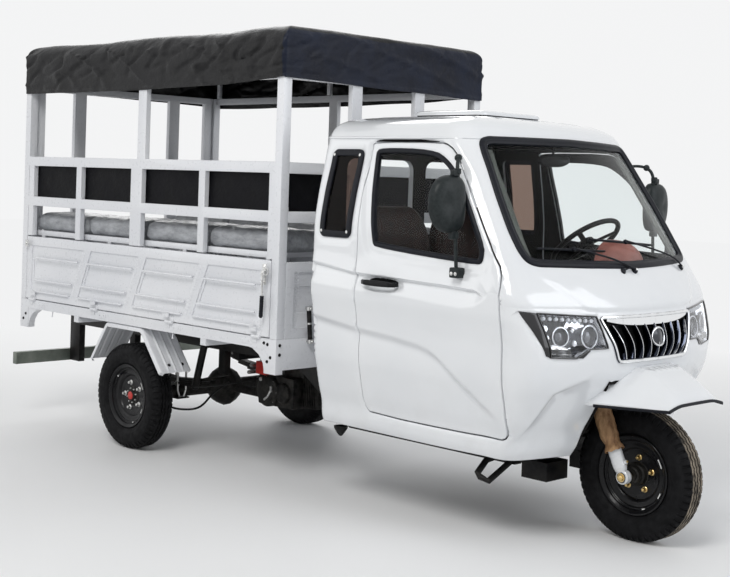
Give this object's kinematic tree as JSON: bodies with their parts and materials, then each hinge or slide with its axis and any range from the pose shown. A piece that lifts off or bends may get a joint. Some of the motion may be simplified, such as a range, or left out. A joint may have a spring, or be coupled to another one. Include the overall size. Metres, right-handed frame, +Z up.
{
  "type": "enclosed cargo tricycle",
  "caption": "Enclosed motor tricycle with a closed two-door cab over a single steered front wheel and a stake-sided rear box with benches, drop sides and a fabric canopy.",
  "frame": {"origin": "middle of the bounding box on the ground plane under the tyres", "axes": "+X forward along the vehicle, +Y to its left side, +Z up"},
  "size_m": [4.2205, 1.804, 2.25],
  "materials": {
    "white_paint": "satin",
    "cab_gloss_white": "gloss",
    "fork_paint": "gloss",
    "black_chassis_steel": "satin",
    "engine_iron": "matte",
    "grey_bar_steel": "matte",
    "tyre_rubber": "matte",
    "rim_black_steel": "satin",
    "canopy_fabric": "matte",
    "infill_sheet": "satin",
    "bench_cushion_cover": "satin",
    "seat_cover": "satin",
    "clear_glass": "clear",
    "tinted_glass": "tinted",
    "lamp_lens": "gloss",
    "grille_chrome": "polished",
    "black_plastic": "satin"
  },
  "bodies": {
    "chassis": {"bench_cushion_left": "bench_cushion_cover", "bench_cushion_right": "bench_cushion_cover", "bench_frame_left": "white_paint", "bench_frame_right": "white_paint", "box_stay_left": "black_chassis_steel", "box_stay_right": "black_chassis_steel", "cab_floor": "cab_gloss_white", "cab_nose": "cab_gloss_white", "cab_rear": "cab_gloss_white", "cab_roof": "cab_gloss_white", "cab_seat": "seat_cover", "canopy": "canopy_fabric", "canopy_bows": "white_paint", "cargo_floor": "white_paint", "chassis_frame": "black_chassis_steel", "dashboard": "black_plastic", "engine_block": "engine_iron", "front_bulkhead": "white_paint", "front_fender": "cab_gloss_white", "front_frame": "white_paint", "grille": "grille_chrome", "headlamp_left": "lamp_lens", "headlamp_right": "lamp_lens", "infill_sheet_front": "infill_sheet", "infill_sheet_left": "infill_sheet", "infill_sheet_right": "infill_sheet", "leaf_spring_left": "black_chassis_steel", "leaf_spring_right": "black_chassis_steel", "mudguard_left": "white_paint", "mudguard_right": "white_paint", "quarter_glass_left": "tinted_glass", "quarter_glass_right": "tinted_glass", "rear_axle": "black_chassis_steel", "rear_bumper_bar": "grey_bar_steel", "rear_frame": "white_paint", "roof_hatch": "cab_gloss_white", "side_frame_left": "white_paint", "side_frame_right": "white_paint", "windscreen": "clear_glass"},
    "front_fork_assembly": {"front_fork": "fork_paint"},
    "front_wheel": {"tyre_front": "tyre_rubber", "rim_front": "rim_black_steel"},
    "rear_wheel_right": {"tyre_rear_right": "tyre_rubber", "rim_rear_right": "rim_black_steel"},
    "rear_wheel_left": {"tyre_rear_left": "tyre_rubber", "rim_rear_left": "rim_black_steel"},
    "right_door": {"door_right": "cab_gloss_white", "door_glass_right": "clear_glass", "door_handle_right": "black_plastic", "mirror_right": "black_plastic"},
    "left_door": {"door_left": "cab_gloss_white", "door_glass_left": "clear_glass", "door_handle_left": "black_plastic", "mirror_left": "black_plastic"},
    "right_gate": {"gate_right": "white_paint"},
    "left_gate": {"gate_left": "white_paint"},
    "rear_gate": {"tailgate": "white_paint"},
    "driver_wheel": {"steering_wheel": "black_plastic"}
  },
  "joints": [
    {"name": "steering", "type": "hinge", "parent": "chassis", "child": "front_fork_assembly", "pos_m": [1.80378, 0, 0.26921], "axis": [-0.4226, 0, 0.9063], "range_deg": [-35, 35]},
    {"name": "front_wheel_spin", "type": "hinge", "parent": "front_fork_assembly", "child": "front_wheel", "pos_m": [1.8355, 0, 0.284], "axis": [0, 1, 0], "continuous": true},
    {"name": "rear_wheel_right_spin", "type": "hinge", "parent": "chassis", "child": "rear_wheel_right", "pos_m": [-0.988, -0.624, 0.284], "axis": [0, 1, 0], "continuous": true},
    {"name": "rear_wheel_left_spin", "type": "hinge", "parent": "chassis", "child": "rear_wheel_left", "pos_m": [-0.988, 0.624, 0.284], "axis": [0, 1, 0], "continuous": true},
    {"name": "right_door_hinge", "type": "hinge", "parent": "chassis", "child": "right_door", "pos_m": [1.619, -0.722, 0.447], "axis": [0, 0, 1], "range_deg": [0, 70]},
    {"name": "left_door_hinge", "type": "hinge", "parent": "chassis", "child": "left_door", "pos_m": [1.619, 0.722, 0.447], "axis": [0, 0, -1], "range_deg": [0, 70]},
    {"name": "right_gate_hinge", "type": "hinge", "parent": "chassis", "child": "right_gate", "pos_m": [-0.891, -0.7223, 0.731], "axis": [1, 0, 0], "range_deg": [0, 165]},
    {"name": "left_gate_hinge", "type": "hinge", "parent": "chassis", "child": "left_gate", "pos_m": [-0.891, 0.7223, 0.731], "axis": [-1, 0, 0], "range_deg": [0, 165]},
    {"name": "tailgate_hinge", "type": "hinge", "parent": "chassis", "child": "rear_gate", "pos_m": [-2.0623, 0, 0.731], "axis": [0, -1, 0], "range_deg": [0, 165]},
    {"name": "steering_wheel_turn", "type": "hinge", "parent": "chassis", "child": "driver_wheel", "pos_m": [1.277, 0.33, 1.235], "axis": [-0.6428, 0, 0.766], "range_deg": [-280, 280]}
  ],
  "couplings": [
    {"joint": "steering_wheel_turn", "follows": "steering", "ratio": 8}
  ]
}
